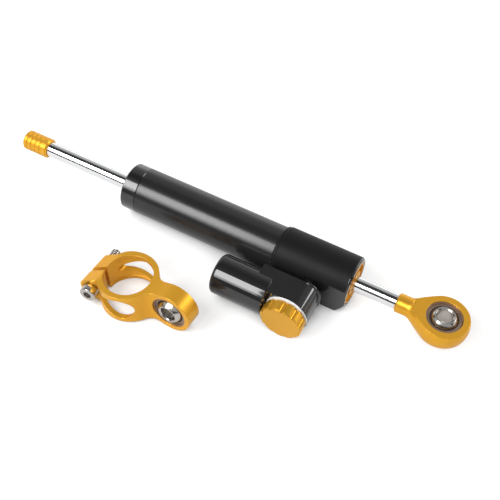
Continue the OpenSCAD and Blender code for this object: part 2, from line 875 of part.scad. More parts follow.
// Clamp: split ring with side windows, ears and a bearing eye
module clamp_ring() color(gold) {
    deep = 2 * clamp_r + ear_w;
    difference() {
        on_clamp() difference() {
            intersection() {
                translate([0, 0, -lug_r - 1]) linear_extrude(2 * lug_r + 2) clamp_plan();
                rotate([90, 0, 0]) linear_extrude(deep, center = true) clamp_side();
            }
            cylinder(r = clamp_bore_r, h = 4 * lug_r, center = true);
            cylinder(r = clamp_bore_r + bore_relief, h = 2 * window_r, center = true);
            rotate([0, 0, ear_turn]) translate([-2 * clamp_r, -slot_w / 2, -2 * lug_r])
                cube([2 * clamp_r, slot_w, 4 * lug_r]);
            rotate([90, 0, 0]) linear_extrude(deep, center = true)
                tapered(window_x0, window_tip_r, window_x1, window_r);
            translate([lug_at, 0, 0]) rotate([90, 0, 0]) bearing_pocket();
        }
        on_clamp_screw() {
            cylinder(r = screw_r + fit_gap, h = deep, center = true);
            translate([0, 0, screw_seat]) cylinder(r = screw_head_r + 0.8, h = deep);
        }
    }
}

// Cap screw of the clamp with a six-sided socket
module clamp_screw() color(steel) {
    shaft = ear_w - spot_depth + screw_tip;
    on_clamp_screw() difference() {
        union() {
            translate([0, 0, screw_seat - shaft]) rimmed(screw_r, shaft + 1, 0.5);
            translate([0, 0, screw_seat]) rimmed(screw_head_r, screw_head_h, 0.4);
        }
        translate([0, 0, screw_seat + screw_head_h]) hex_socket(screw_d * 0.8, screw_d * 0.55);
    }
}

module clamp_race() color(bronze) {
    on_clamp_eye() bearing_race();
}

module clamp_snap_rings() color(steel) {
    on_clamp_eye() bearing_snap_rings();
}

module clamp_liner() color(nylon) {
    on_clamp_eye() bearing_liner();
}

module clamp_ball() color(steel) {
    on_clamp_eye() bearing_ball();
}

outer_tube();
tube_end_cap();
end_cap_bush();
end_cap_seal();
end_cap_o_ring();
head_block();
head_o_ring();
head_bush();
head_seal();
gland_nut();
wiper_seal();
reservoir_plug();
plug_o_ring();
plug_circlip();
bleed_screw();
floating_piston();
floating_piston_o_ring();
knob_washer();
adjuster_bush();
valve_seat();
detent_ball();
detent_spring();
knob();
knob_stem();
stem_o_ring();
metering_needle();
piston_ring();
rod();
piston();
piston_circlips();
rod_stop();
rod_end();
eye_race();
eye_snap_rings();
eye_liner();
eye_ball();
clamp_ring();
clamp_screw();
clamp_race();
clamp_snap_rings();
clamp_liner();
clamp_ball();
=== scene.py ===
"""Studio scene of a motorcycle steering damper and its clamp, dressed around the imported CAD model."""
import json
import logging
import math
from dataclasses import dataclass, field, replace
from enum import Enum
from typing import Any, Callable, Union

import bpy
from mathutils import Matrix, Vector


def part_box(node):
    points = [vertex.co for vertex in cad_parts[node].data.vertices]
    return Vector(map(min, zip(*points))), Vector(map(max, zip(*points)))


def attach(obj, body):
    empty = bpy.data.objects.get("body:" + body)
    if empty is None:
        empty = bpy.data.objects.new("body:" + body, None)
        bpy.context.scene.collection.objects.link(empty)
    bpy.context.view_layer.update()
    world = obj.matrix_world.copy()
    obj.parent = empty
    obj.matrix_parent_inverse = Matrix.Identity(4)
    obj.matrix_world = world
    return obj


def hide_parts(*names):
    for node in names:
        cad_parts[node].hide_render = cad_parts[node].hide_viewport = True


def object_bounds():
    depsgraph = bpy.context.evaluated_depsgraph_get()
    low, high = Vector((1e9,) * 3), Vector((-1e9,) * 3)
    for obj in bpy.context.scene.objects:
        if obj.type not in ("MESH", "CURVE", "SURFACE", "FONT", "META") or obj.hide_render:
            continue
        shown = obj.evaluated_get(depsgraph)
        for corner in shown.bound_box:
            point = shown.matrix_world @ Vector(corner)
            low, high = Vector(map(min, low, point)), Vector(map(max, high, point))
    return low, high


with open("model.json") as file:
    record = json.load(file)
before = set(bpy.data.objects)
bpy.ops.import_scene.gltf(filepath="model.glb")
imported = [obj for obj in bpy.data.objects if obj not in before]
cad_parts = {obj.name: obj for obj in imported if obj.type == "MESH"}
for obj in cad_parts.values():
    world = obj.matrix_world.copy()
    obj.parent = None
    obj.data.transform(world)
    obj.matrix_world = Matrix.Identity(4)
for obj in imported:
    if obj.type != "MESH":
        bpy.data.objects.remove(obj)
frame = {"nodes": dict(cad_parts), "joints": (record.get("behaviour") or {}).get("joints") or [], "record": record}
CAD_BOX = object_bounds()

log = logging.getLogger("steering_damper")

Triple = tuple[float, float, float]
Span = tuple[float, float]
Stops = tuple[Span, ...]
Number = Union[float, int, "Value"]

MM = 0.001
FLOOR_Z = CAD_BOX[0].z
PATCH_OCTAVES = 2.0
STREAK_OCTAVES = 3.0
EDGE_SAMPLES = 6
HOLLOW_SAMPLES = 12
SMOOTH_ANGLE = math.radians(35.0)
QUARTER_TURN = math.radians(90.0)


class Marks(Enum):
    """How the tool left a surface."""

    TURNED = "rings round the piece's own axis"
    BLASTED = "an even fine grain"


class Value:
    """A number or vector socket of a node tree that takes part in Python expressions."""

    def __init__(self, graph: "Graph", socket: bpy.types.NodeSocket) -> None:
        """Keep the socket and the graph it belongs to."""
        self.graph = graph
        self.socket = socket

    def _math(self, operation: str, first: Number, second: Number = 0.0) -> "Value":
        """Add one Math node.

        Args:
            operation: Blender's name of the operation.
            first: Left operand.
            second: Right operand.

        Returns:
            The node's result.
        """
        made = self.graph.node("ShaderNodeMath", {"operation": operation}, {0: first, 1: second})
        return made["Value"]

    def __add__(self, other: Number) -> "Value":
        """Sum."""
        return self._math("ADD", self, other)

    __radd__ = __add__

    def __sub__(self, other: Number) -> "Value":
        """Difference."""
        return self._math("SUBTRACT", self, other)

    def __rsub__(self, other: Number) -> "Value":
        """Difference with the number first."""
        return self._math("SUBTRACT", other, self)

    def __mul__(self, other: Number) -> "Value":
        """Product."""
        return self._math("MULTIPLY", self, other)

    __rmul__ = __mul__

    def larger(self, other: Number) -> "Value":
        """The larger of two values."""
        return self._math("MAXIMUM", self, other)

    def between(self, low: float, high: float) -> "Value":
        """Where the value lies from low to high, as a smooth 0 to 1.

        Args:
            low: Value that becomes 0.
            high: Value that becomes 1.

        Returns:
            The mask.
        """
        return self.graph.node("ShaderNodeMapRange", {"interpolation_type": "SMOOTHSTEP"},
                               {"Value": self, "From Min": low, "From Max": high})["Result"]


class Outputs:
    """The results of one node, fetched by name."""

    def __init__(self, graph: "Graph", made: bpy.types.Node) -> None:
        """Keep the node and its graph."""
        self.graph = graph
        self.made = made

    def __getitem__(self, name: str) -> Value:
        """The enabled output of that name."""
        return Value(self.graph, next(s for s in self.made.outputs if s.name == name and s.enabled))


class Graph:
    """A node tree under construction."""

    def __init__(self, tree: bpy.types.NodeTree) -> None:
        """Empty the tree and keep it."""
        self.tree = tree
        tree.nodes.clear()

    def node(self, kind: str, settings: dict[str, Any], inputs: dict[Any, Any]) -> Outputs:
        """Add a node, set it up and fill its inputs.

        Args:
            kind: Blender's type name of the node.
            settings: Properties to set first; "stops" holds a ramp's places and colours.
            inputs: Input name or number to a value or a Value to link.

        Returns:
            The node's outputs.
        """
        made = self.tree.nodes.new(kind)
        for name, value in settings.items():
            if name == "stops":
                self._stops(made.color_ramp, value)
            else:
                setattr(made, name, value)
        for key, value in inputs.items():
            socket = made.inputs[key] if isinstance(key, int) else next(
                s for s in made.inputs if s.name == key and s.enabled)
            if isinstance(value, Value):
                self.tree.links.new(value.socket, socket)
            else:
                socket.default_value = value
        return Outputs(self, made)

    @staticmethod
    def _stops(ramp: bpy.types.ColorRamp, stops: Stops) -> None:
        """Give a ramp its greys.

        Args:
            ramp: The ramp.
            stops: Place and grey of each stop, in rising order.
        """
        while len(ramp.elements) < len(stops):
            ramp.elements.new(1.0)
        for element, (place, grey) in zip(ramp.elements, stops):
            element.position = place
            element.color = (grey, grey, grey, 1.0)

    def mix(self, factor: Number, first: Any, second: Any) -> Value:
        """Blend two colours.

        Args:
            factor: 0 for the first, 1 for the second.
            first: Colour or Value.
            second: Colour or Value.

        Returns:
            The blended colour.
        """
        first, second = (c if isinstance(c, Value) else (*c, 1.0) for c in (first, second))
        return self.node("ShaderNodeMix", {"data_type": "RGBA", "clamp_factor": True},
                         {"Factor": factor, "A": first, "B": second})["Result"]

    def vector(self, operation: str, result: str, *operands: Any) -> Value:
        """Add one Vector Math node.

        Args:
            operation: Blender's name of the operation.
            result: Name of the wanted output.
            operands: Vectors or Values.

        Returns:
            The wanted output.
        """
        made = self.node("ShaderNodeVectorMath", {"operation": operation}, dict(enumerate(operands)))
        return made[result]

    def noise(self, where: Value, size: float) -> Value:
        """Noise in space.

        Args:
            where: Position in metres.
            size: Size of the noise's patches in metres.

        Returns:
            A number round 0.5.
        """
        return self.node("ShaderNodeTexNoise", {"noise_dimensions": "3D"},
                         {"Vector": where, "Scale": 1.0 / size, "Detail": PATCH_OCTAVES})["Fac"]

    def streaks(self, along: Value, size: float) -> Value:
        """Noise along one length, for rings and strokes.

        Args:
            along: Length in metres.
            size: Mean width of a streak in metres.

        Returns:
            A number round 0.5.
        """
        return self.node("ShaderNodeTexNoise", {"noise_dimensions": "1D"},
                         {"W": along, "Scale": 1.0 / size, "Detail": STREAK_OCTAVES})["Fac"]


@dataclass(frozen=True)
class Axis:
    """A line in the part's frame that a piece was turned about."""

    origin: Triple
    direction: Triple

    def along(self, graph: Graph, where: Value) -> Value:
        """Length of a point along the axis, in metres."""
        arm = graph.vector("SUBTRACT", "Vector", where, self.origin)
        return graph.vector("DOT_PRODUCT", "Value", arm, self.direction)

    def away(self, graph: Graph, where: Value) -> Value:
        """Distance of a point from the axis, in metres."""
        arm = graph.vector("SUBTRACT", "Vector", where, self.origin)
        across = graph.vector("CROSS_PRODUCT", "Vector", arm, self.direction)
        return graph.vector("LENGTH", "Value", across)


ROD_AXIS = Axis((0.0, 0.0, 0.0), (1.0, 0.0, 0.0))


def record_joint(name: str) -> dict[str, Any]:
    """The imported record's joint of that name."""
    return next(j for j in frame["joints"] if j["name"] == name)


def record_mount(name: str) -> dict[str, Any]:
    """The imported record's mount of that name."""
    return next(m for m in frame["record"]["mounts"] if m["name"] == name)


def middle(node: str) -> Triple:
    """Middle of a CAD node's box."""
    low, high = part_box(node)
    return tuple((low + high) / 2)


def turning_axis(joint: str) -> Axis:
    """The axis of a turning joint."""
    turn = record_joint(joint)
    return Axis(tuple(turn["pos_m"]), tuple(turn["axis"]))


@dataclass(frozen=True)
class Finish:
    """A finish: two close tones, a gloss that varies, lighter edges that are partly wear and partly a painted
    highlight, painted shade in hollows and tool marks.
    """

    name: str
    tone: Triple
    deep_tone: Triple
    edge_wear_and_highlight_tone: Triple
    metallic: float
    roughness: float
    roughness_spread: float
    marks: Marks
    grain: float
    relief: float
    ior: float = 1.5
    coat: float = 0.0
    coat_roughness: float = 0.04
    coat_ior: float = 1.5
    patch: float = 6.0 * MM
    edge: float = 0.2 * MM
    edge_turn: Span = (0.02, 0.25)
    # How far edges are lightened: partly wear, partly a painted highlight along the edges.
    edge_wear_and_highlight: float = 0.35
    # Painted shade: how strongly hollows are darkened, and the dark tone they take.
    hollow_shade: float = 0.0
    hollow_shade_tone: Triple = (0.035, 0.018, 0.008)
    hollow: float = 3.5 * MM
    hollow_depth: Span = (0.5, 0.75)
    tone_patches: float = 0.75
    gloss_patches: float = 0.4

    def coat_weight(self, graph: Graph, where: Value) -> Number:
        """How much clear gloss lies on the surface, the same all over."""
        return self.coat

    def material(self, axis: Axis) -> bpy.types.Material:
        """Make the material for a piece that was turned about an axis.

        Args:
            axis: The piece's own axis.

        Returns:
            The material.
        """
        made = bpy.data.materials.new(self.name)
        made.use_nodes = True
        made.diffuse_color = (*self.tone, 1.0)
        graph = Graph(made.node_tree)
        where = graph.node("ShaderNodeTexCoord", {}, {})["Object"]
        patches = graph.noise(where, self.patch)
        if self.marks is Marks.TURNED:
            marks = graph.streaks(axis.along(graph, where) + axis.away(graph, where), self.grain)
        else:
            marks = graph.noise(where, self.grain)
        rounded = graph.node("ShaderNodeBevel", {"samples": EDGE_SAMPLES}, {"Radius": self.edge})["Normal"]
        true = graph.node("ShaderNodeNewGeometry", {}, {})["Normal"]
        edges = (1.0 - graph.vector("DOT_PRODUCT", "Value", rounded, true)).between(*self.edge_turn)
        depth = self.tone_patches * patches + (1.0 - self.tone_patches) * marks
        colour = graph.mix(depth, self.tone, self.deep_tone)
        # Lighter edges: partly wear, partly a painted highlight along the edges.
        colour = graph.mix(edges * (patches * self.edge_wear_and_highlight), colour, self.edge_wear_and_highlight_tone)
        # Painted shade: where ambient occlusion finds a hollow, the colour is darkened.
        if self.hollow_shade:
            open_sky = graph.node("ShaderNodeAmbientOcclusion", {
                "only_local": True, "samples": HOLLOW_SAMPLES}, {"Distance": self.hollow})["AO"]
            painted_hollow_shade = (1.0 - open_sky).between(*self.hollow_depth)
            colour = graph.mix(painted_hollow_shade * self.hollow_shade, colour, self.hollow_shade_tone)
        spread = self.gloss_patches * patches + (1.0 - self.gloss_patches) * marks - 0.5
        gloss = self.roughness + spread * (2.0 * self.roughness_spread)
        bump = graph.node("ShaderNodeBump", {}, {
            "Strength": 1.0, "Distance": self.relief, "Height": marks, "Normal": rounded})
        shader = graph.node("ShaderNodeBsdfPrincipled", {}, {
            "Base Color": colour, "Metallic": self.metallic, "Roughness": gloss, "IOR": self.ior,
            "Coat Weight": self.coat_weight(graph, where), "Coat Roughness": self.coat_roughness,
            "Coat IOR": self.coat_ior, "Normal": bump["Normal"]})
        graph.node("ShaderNodeOutputMaterial", {}, {"Surface": shader["BSDF"]})
        return made


@dataclass(frozen=True)
class HeadFinish(Finish):
    """The head's black: polished on its arm and flats, left satin round the turned collar."""

    collar_radius: float = 13.6 * MM
    rim_radius: float = 12.8 * MM
    collar_end: float = 85.5 * MM
    flat_at: float = 11.97 * MM
    flat_normal: Triple = field(default_factory=lambda: tuple(record_joint("knob_turn")["axis"]))
    level: Span = (0.992, 0.998)
    arm_gloss: float = 0.4
    blend: float = 0.05 * MM

    def coat_weight(self, graph: Graph, where: Value) -> Number:
        """Clear gloss, thinner on the arm's level top and none on the collar's round.

        Args:
            graph: The material's graph.
            where: Position in metres.

        Returns:
            The coat's weight.
        """
        arm_up = Vector(self.flat_normal).cross(Vector(ROD_AXIS.direction))
        true = graph.node("ShaderNodeNewGeometry", {}, {})["Normal"]
        top = graph.vector("DOT_PRODUCT", "Value", true, arm_up).between(*self.level)
        away = ROD_AXIS.away(graph, where)
        inside = 1.0 - away.between(self.collar_radius + self.blend, self.collar_radius + 2 * self.blend)
        ring = away.between(self.rim_radius - 2 * self.blend, self.rim_radius) * inside
        along = ROD_AXIS.along(graph, where)
        before = 1.0 - along.between(self.collar_end - 2 * self.blend, self.collar_end)
        ahead = graph.vector("DOT_PRODUCT", "Value", where, self.flat_normal)
        behind = 1.0 - ahead.between(self.flat_at - self.blend, self.flat_at)
        return self.coat * ((1.0 - ring * before * behind) * (1.0 - top * (1.0 - self.arm_gloss)))


# Gold's edges are lightened strongly: partly wear, partly a painted highlight along the edges.
GOLD = Finish(
    "gold_anodised", tone=(0.87, 0.445, 0.042), deep_tone=(0.81, 0.40, 0.034), edge_wear_and_highlight_tone=(0.95, 0.68, 0.20),
    metallic=0.60, roughness=0.34, roughness_spread=0.05, marks=Marks.BLASTED, grain=0.16 * MM,
    relief=0.002 * MM, ior=1.2, edge=0.4 * MM, edge_wear_and_highlight=0.9)
# The nut and the turned gold carry painted shade in their pin holes, flutes and grooves.
GOLD_NUT = replace(GOLD, name="gold_nut", metallic=0.45, edge=0.1 * MM, hollow_shade=0.9)
GOLD_TURNED = Finish(
    "gold_turned", tone=(0.80, 0.425, 0.045), deep_tone=(0.74, 0.38, 0.036), edge_wear_and_highlight_tone=(0.95, 0.68, 0.20),
    metallic=0.72, roughness=0.29, roughness_spread=0.04, marks=Marks.TURNED, grain=0.25 * MM,
    relief=0.0003 * MM, ior=1.2, edge=0.08 * MM, hollow_shade=0.9)
BLACK_HEAD = HeadFinish(
    "black_head", tone=(0.013, 0.013, 0.014), deep_tone=(0.009, 0.009, 0.010), edge_wear_and_highlight_tone=(0.10, 0.10, 0.10),
    metallic=0.0, roughness=0.46, roughness_spread=0.04, marks=Marks.TURNED, grain=0.20 * MM,
    relief=0.0004 * MM, ior=1.22, coat=1.0, coat_ior=1.58, edge=0.15 * MM, edge_wear_and_highlight=0.1)
BLACK_GLOSS = Finish(
    "black_gloss", tone=(0.011, 0.011, 0.012), deep_tone=(0.008, 0.008, 0.009), edge_wear_and_highlight_tone=(0.10, 0.10, 0.10),
    metallic=0.0, roughness=0.30, roughness_spread=0.04, marks=Marks.TURNED, grain=0.12 * MM,
    relief=0.0006 * MM, ior=1.4, coat=0.8, coat_ior=1.55)
BLACK_SATIN = Finish(
    "black_satin", tone=(0.022, 0.022, 0.023), deep_tone=(0.014, 0.014, 0.015), edge_wear_and_highlight_tone=(0.10, 0.10, 0.10),
    metallic=0.0, roughness=0.24, roughness_spread=0.06, marks=Marks.TURNED, grain=0.22 * MM,
    relief=0.001 * MM, ior=1.5, patch=2.5 * MM)
CHROME = Finish(
    "hard_chrome", tone=(0.90, 0.91, 0.92), deep_tone=(0.86, 0.87, 0.88), edge_wear_and_highlight_tone=(0.92, 0.92, 0.92),
    metallic=1.0, roughness=0.12, roughness_spread=0.02, marks=Marks.TURNED, grain=0.30 * MM,
    relief=0.00001 * MM)
STEEL = Finish(
    "turned_steel", tone=(0.60, 0.57, 0.54), deep_tone=(0.48, 0.455, 0.43), edge_wear_and_highlight_tone=(0.75, 0.74, 0.72),
    metallic=1.0, roughness=0.20, roughness_spread=0.06, marks=Marks.TURNED, grain=0.09 * MM,
    relief=0.001 * MM)
ALUMINIUM = Finish(
    "bare_aluminium", tone=(0.72, 0.72, 0.73), deep_tone=(0.64, 0.64, 0.65), edge_wear_and_highlight_tone=(0.80, 0.80, 0.80),
    metallic=1.0, roughness=0.30, roughness_spread=0.06, marks=Marks.TURNED, grain=0.12 * MM,
    relief=0.002 * MM)
RACE = Finish(
    "race_bronze", tone=(0.36, 0.25, 0.18), deep_tone=(0.27, 0.18, 0.13), edge_wear_and_highlight_tone=(0.50, 0.42, 0.35),
    metallic=0.6, roughness=0.38, roughness_spread=0.08, marks=Marks.TURNED, grain=0.10 * MM,
    relief=0.002 * MM)
BRASS = Finish(
    "turned_brass", tone=(0.72, 0.52, 0.22), deep_tone=(0.62, 0.44, 0.17), edge_wear_and_highlight_tone=(0.80, 0.64, 0.34),
    metallic=1.0, roughness=0.28, roughness_spread=0.06, marks=Marks.TURNED, grain=0.10 * MM,
    relief=0.002 * MM)
RUBBER = Finish(
    "moulded_rubber", tone=(0.018, 0.018, 0.020), deep_tone=(0.012, 0.012, 0.013),
    edge_wear_and_highlight_tone=(0.05, 0.05, 0.05), metallic=0.0, roughness=0.62, roughness_spread=0.10,
    marks=Marks.BLASTED, grain=0.12 * MM, relief=0.006 * MM)
NYLON = Finish(
    "turned_nylon", tone=(0.93, 0.93, 0.92), deep_tone=(0.88, 0.88, 0.87), edge_wear_and_highlight_tone=(0.90, 0.90, 0.90),
    metallic=0.0, roughness=0.42, roughness_spread=0.06, marks=Marks.TURNED, grain=0.14 * MM,
    relief=0.002 * MM)
LINER = Finish(
    "woven_liner", tone=(0.060, 0.048, 0.040), deep_tone=(0.030, 0.024, 0.020), edge_wear_and_highlight_tone=(0.10, 0.08, 0.07),
    metallic=0.0, roughness=0.70, roughness_spread=0.08, marks=Marks.BLASTED, grain=0.30 * MM,
    relief=0.020 * MM)


def dress(shown: bpy.types.Object, finish: Finish, axis: Axis) -> None:
    """Give an object a material of its own.

    Args:
        shown: CAD node or new piece.
        finish: Its finish.
        axis: The axis it was turned about.
    """
    made = finish.material(axis)
    made.name = f"{finish.name}_{shown.name}"
    shown.data.materials.clear()
    shown.data.materials.append(made)
    log.info("dressed %s in %s", shown.name, finish.name)


class Shaper:
    """One mesh object that is shaped by operators, as by hand."""

    MERGE = 0.001 * MM
    CUT_SLACK = 0.0001 * MM

    def __init__(self, name: str) -> None:
        """Take over the object that an operator has just added."""
        self.made = bpy.context.object
        self.made.name = name

    @staticmethod
    def clear() -> None:
        """Deselect everything, in object mode."""
        if bpy.context.object and bpy.context.object.mode != "OBJECT":
            bpy.ops.object.mode_set(mode="OBJECT")
        bpy.ops.object.select_all(action="DESELECT")

    def pick(self, wanted: Callable[[Vector], bool]) -> None:
        """Go into edit mode with the edges selected whose both ends pass a test.

        Args:
            wanted: Test of a vertex's place.
        """
        mesh = self.made.data
        bpy.ops.object.mode_set(mode="EDIT")
        bpy.ops.mesh.select_mode(type="EDGE")
        bpy.ops.mesh.select_all(action="DESELECT")
        bpy.ops.object.mode_set(mode="OBJECT")
        for edge in mesh.edges:
            edge.select = all(wanted(mesh.vertices[v].co) for v in edge.vertices)
        bpy.ops.object.mode_set(mode="EDIT")

    def bevel(self, wanted: Callable[[Vector], bool], width: float, segments: int) -> None:
        """Round the picked edges.

        Args:
            wanted: Test of a vertex's place.
            width: Width of the rounding in metres.
            segments: Its steps.
        """
        self.pick(wanted)
        bpy.ops.mesh.bevel(offset=width, segments=segments, affect="EDGES")
        bpy.ops.object.mode_set(mode="OBJECT")

    def cut_at(self, height: float, keep_above: bool) -> None:
        """Cut the mesh by a level plane, drop one side and close the cut.

        Args:
            height: Height of the plane in metres.
            keep_above: Whether the upper side stays.
        """
        bpy.ops.object.mode_set(mode="EDIT")
        bpy.ops.mesh.select_all(action="SELECT")
        bpy.ops.mesh.bisect(plane_co=(0.0, 0.0, height), plane_no=(0.0, 0.0, 1.0), use_fill=True,
                            clear_inner=keep_above, clear_outer=not keep_above, threshold=self.CUT_SLACK)
        bpy.ops.object.mode_set(mode="OBJECT")

    def clean(self) -> None:
        """Merge doubles and turn all faces outwards."""
        bpy.ops.object.mode_set(mode="EDIT")
        bpy.ops.mesh.select_all(action="SELECT")
        bpy.ops.mesh.remove_doubles(threshold=self.MERGE)
        bpy.ops.mesh.normals_make_consistent(inside=False)
        bpy.ops.object.mode_set(mode="OBJECT")

    def combine(self, other: "Shaper", operation: str) -> None:
        """Join, cut or trim this mesh by another one, which is used up.

        Args:
            other: The other mesh.
            operation: UNION, DIFFERENCE or INTERSECT.
        """
        self.clear()
        self.made.select_set(True)
        bpy.context.view_layer.objects.active = self.made
        step = self.made.modifiers.new(operation.lower(), "BOOLEAN")
        step.operation = operation
        step.object = other.made
        step.solver = "EXACT"
        bpy.ops.object.modifier_apply(modifier=step.name)
        bpy.data.objects.remove(other.made)

    def settle(self, place: Matrix) -> None:
        """Move the piece to its place, kept in its mesh, and smooth its rounds.

        Args:
            place: Where the piece's own frame goes.
        """
        self.clear()
        self.made.select_set(True)
        bpy.context.view_layer.objects.active = self.made
        self.made.matrix_world = place
        bpy.ops.object.transform_apply(location=True, rotation=True, scale=True)
        bpy.ops.object.shade_smooth_by_angle(angle=SMOOTH_ANGLE)


@dataclass
class Assembly:
    """Pieces that share one axis, with the finish of each CAD node."""

    axis: Axis
    finishes: dict[str, Finish]

    def build(self) -> None:
        """Dress the CAD nodes."""
        for node, finish in self.finishes.items():
            dress(frame["nodes"][node], finish, self.axis)


@dataclass
class TubeAndRod(Assembly):
    """Everything that was turned about the rod's axis."""

    axis: Axis = ROD_AXIS
    finishes: dict[str, Finish] = field(default_factory=lambda: {
        "outer_tube": BLACK_SATIN, "tube_end_cap": BLACK_GLOSS, "end_cap_bush": RACE,
        "end_cap_seal": RUBBER, "end_cap_o_ring": RUBBER, "head_block": BLACK_HEAD,
        "head_o_ring": RUBBER, "head_bush": RACE, "head_seal": RUBBER, "gland_nut": GOLD_NUT,
        "wiper_seal": RUBBER, "piston_ring": NYLON, "rod": CHROME, "piston": ALUMINIUM,
        "piston_circlips": STEEL, "rod_stop": GOLD_NUT, "rod_end": GOLD})


@dataclass
class Reservoir(Assembly):
    """What sits in the reservoir."""

    axis: Axis = field(default_factory=lambda: Axis(middle("floating_piston"), (1.0, 0.0, 0.0)))
    finishes: dict[str, Finish] = field(default_factory=lambda: {
        "reservoir_plug": BLACK_GLOSS, "plug_o_ring": RUBBER, "plug_circlip": STEEL,
        "bleed_screw": STEEL, "floating_piston": ALUMINIUM, "floating_piston_o_ring": RUBBER})


@dataclass
class Adjuster(Assembly):
    """Knob, stem and valve on the adjuster's axis."""

    axis: Axis = field(default_factory=lambda: turning_axis("knob_turn"))
    finishes: dict[str, Finish] = field(default_factory=lambda: {
        "knob_washer": NYLON, "adjuster_bush": BRASS, "valve_seat": BRASS, "detent_ball": STEEL,
        "detent_spring": STEEL, "knob": GOLD_TURNED, "knob_stem": STEEL, "stem_o_ring": RUBBER,
        "metering_needle": STEEL})


@dataclass
class RodEye(Assembly):
    """The spherical bearing in the rod end."""

    axis: Axis = field(default_factory=lambda: turning_axis("rod_eye_turn"))
    finishes: dict[str, Finish] = field(default_factory=lambda: {
        "eye_race": RACE, "eye_snap_rings": RACE, "eye_liner": LINER, "eye_ball": STEEL})


@dataclass
class ClampEye(Assembly):
    """The spherical bearing in the clamp."""

    axis: Axis = field(default_factory=lambda: turning_axis("clamp_eye_turn"))
    finishes: dict[str, Finish] = field(default_factory=lambda: {
        "clamp_race": RACE, "clamp_snap_rings": RACE, "clamp_liner": LINER, "clamp_ball": STEEL})


